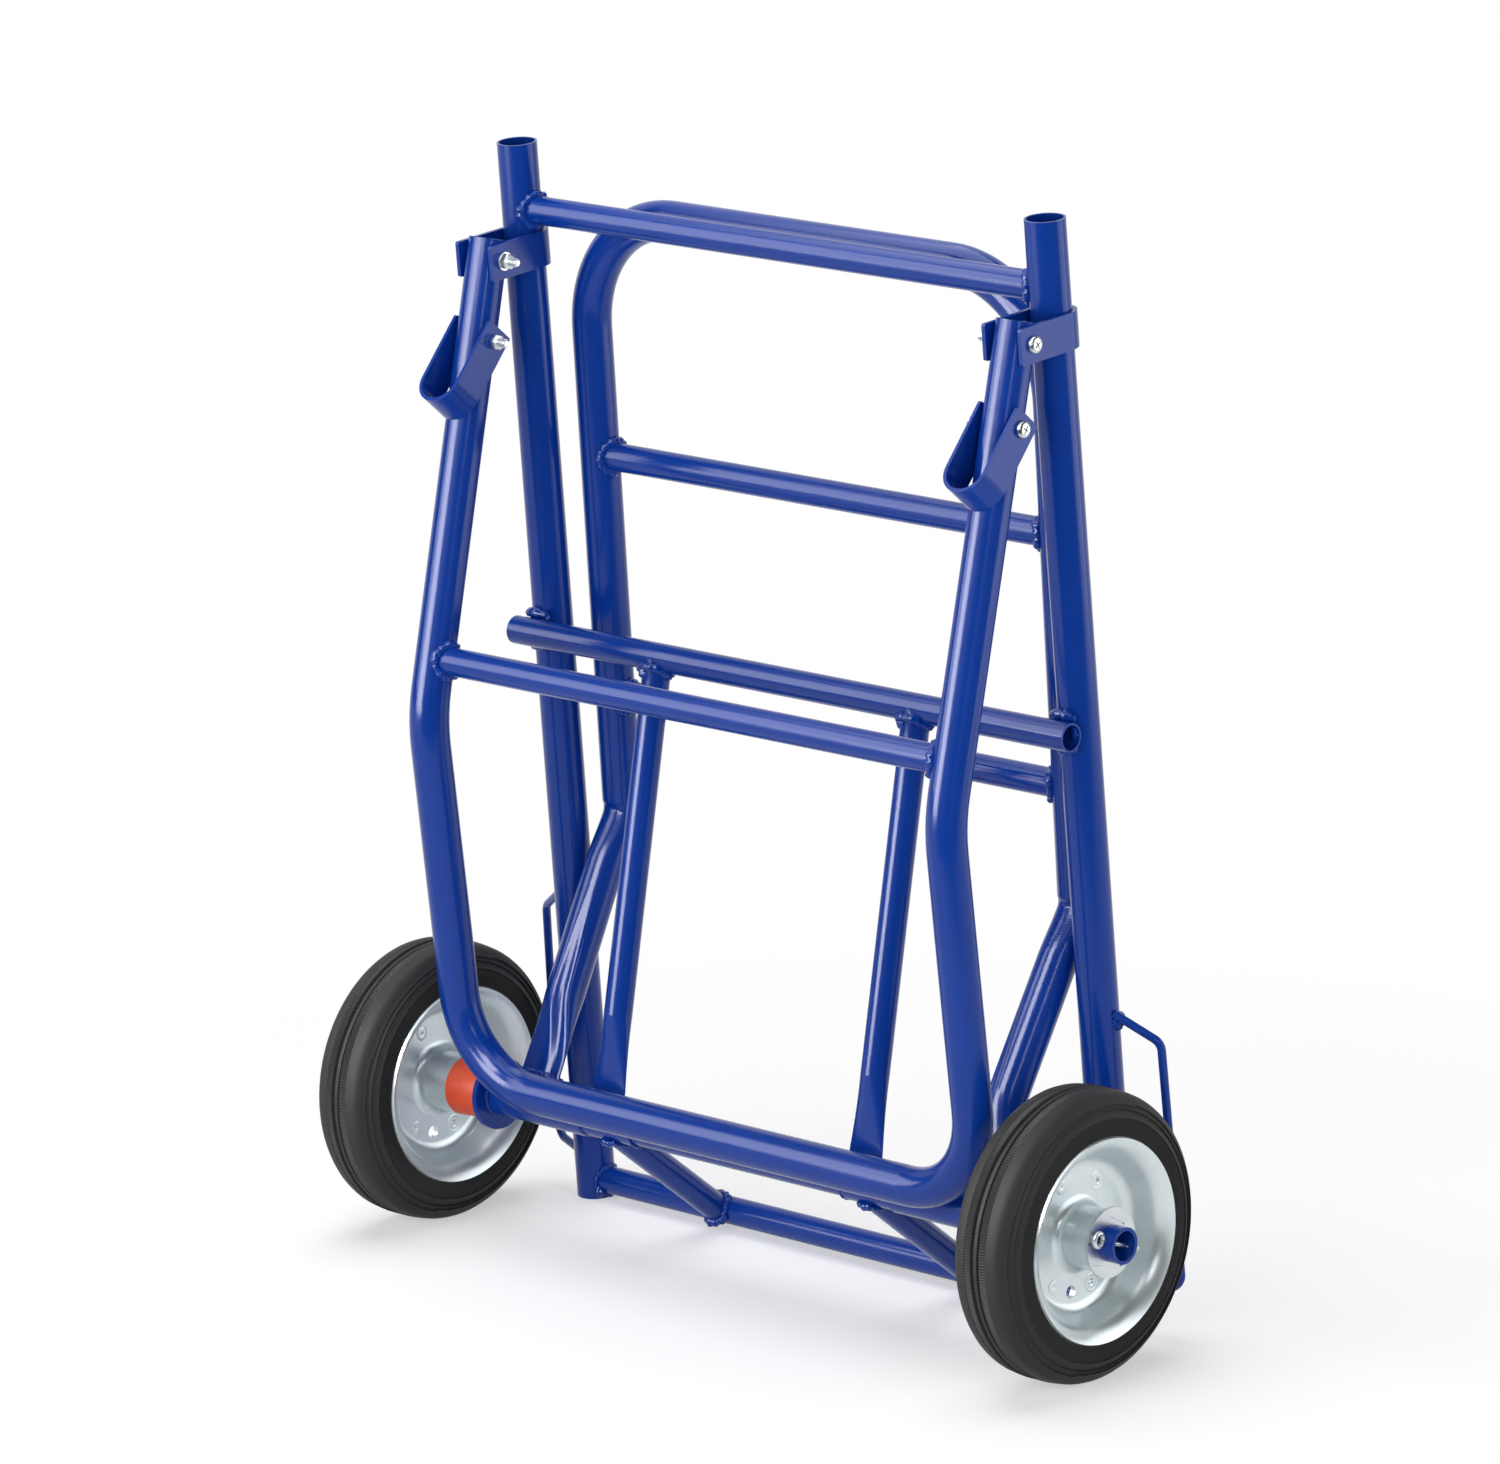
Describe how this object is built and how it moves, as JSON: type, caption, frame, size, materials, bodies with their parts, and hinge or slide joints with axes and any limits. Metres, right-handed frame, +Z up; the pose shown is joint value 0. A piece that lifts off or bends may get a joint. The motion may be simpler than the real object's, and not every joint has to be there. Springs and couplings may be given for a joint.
{
  "type": "folding hand truck",
  "caption": "Folding tubular steel hand truck on rubber-tyred wheels, with a load frame that swings down, a handle that folds up and is held by latch straps, and wire wheel guards.",
  "frame": {"origin": "middle of the footprint, on the floor", "axes": "+X to the right and +Y away from a viewer who faces the folded handle, +Z up"},
  "size_m": [0.6914, 0.2196, 0.7726],
  "materials": {
    "blue_paint": "gloss",
    "zinc": "bright zinc plate",
    "rubber": "matt",
    "orange_nylon": "satin"
  },
  "bodies": {
    "main_frame": {"top_crossbar": "blue_paint", "middle_crossbar": "blue_paint", "bottom_crossbar": "blue_paint", "axle_tube": "blue_paint", "left_upright": "blue_paint", "right_upright": "blue_paint", "left_axle_collar": "blue_paint", "right_axle_collar": "blue_paint", "left_strut": "blue_paint", "right_strut": "blue_paint", "left_brace": "blue_paint", "right_brace": "blue_paint", "left_wheel_guard": "blue_paint", "right_wheel_guard": "blue_paint", "left_hinge_strap": "blue_paint", "right_hinge_strap": "blue_paint", "left_hinge_bolt": "zinc", "right_hinge_bolt": "zinc", "left_hinge_washer": "zinc", "right_hinge_washer": "zinc", "left_hinge_nut": "zinc", "right_hinge_nut": "zinc", "left_axle_washer": "zinc", "right_axle_washer": "zinc", "left_split_pin": "zinc", "right_split_pin": "zinc"},
    "load_frame": {"load_frame_tube": "blue_paint", "load_upper_crossbar": "blue_paint", "load_lower_crossbar": "blue_paint", "left_pivot_sleeve": "blue_paint", "right_pivot_sleeve": "blue_paint", "left_sleeve_flange": "blue_paint", "right_sleeve_flange": "blue_paint"},
    "handle": {"handle_tube": "blue_paint", "handle_crossbar": "blue_paint", "left_latch_bolt": "zinc", "right_latch_bolt": "zinc", "left_latch_nut": "zinc", "right_latch_nut": "zinc"},
    "left_latch": {"left_latch_strap": "blue_paint"},
    "right_latch": {"right_latch_strap": "blue_paint"},
    "left_wheel": {"left_tyre": "rubber", "left_rim_outer": "zinc", "left_rim_inner": "zinc", "left_wheel_rivet_1": "zinc", "left_wheel_rivet_2": "zinc", "left_wheel_rivet_3": "zinc", "left_outer_bush": "orange_nylon", "left_inner_bush": "orange_nylon"},
    "right_wheel": {"right_tyre": "rubber", "right_rim_outer": "zinc", "right_rim_inner": "zinc", "right_wheel_rivet_1": "zinc", "right_wheel_rivet_2": "zinc", "right_wheel_rivet_3": "zinc", "right_outer_bush": "orange_nylon", "right_inner_bush": "orange_nylon"}
  },
  "joints": [
    {"name": "load_frame_fold", "type": "hinge", "parent": "main_frame", "child": "load_frame", "pos_m": [0, -0.00983, 0.1], "axis": [-1, 0, 0], "range_deg": [-0.6, 89.8]},
    {"name": "handle_fold", "type": "hinge", "parent": "main_frame", "child": "handle", "pos_m": [0, 0.00464, 0.69406], "axis": [-1, 0, 0], "range_deg": [0, 162.75]},
    {"name": "left_latch_swing", "type": "hinge", "parent": "handle", "child": "left_latch", "pos_m": [-0.24351, -0.00781, 0.63946], "axis": [-1, 0, 0], "range_deg": [0, 62.4]},
    {"name": "right_latch_swing", "type": "hinge", "parent": "handle", "child": "right_latch", "pos_m": [0.24351, -0.00781, 0.63946], "axis": [-1, 0, 0], "range_deg": [0, 62.4]},
    {"name": "left_wheel_spin", "type": "hinge", "parent": "main_frame", "child": "left_wheel", "pos_m": [-0.301, -0.00983, 0.1], "axis": [1, 0, 0], "continuous": true},
    {"name": "right_wheel_spin", "type": "hinge", "parent": "main_frame", "child": "right_wheel", "pos_m": [0.301, -0.00983, 0.1], "axis": [1, 0, 0], "continuous": true}
  ]
}
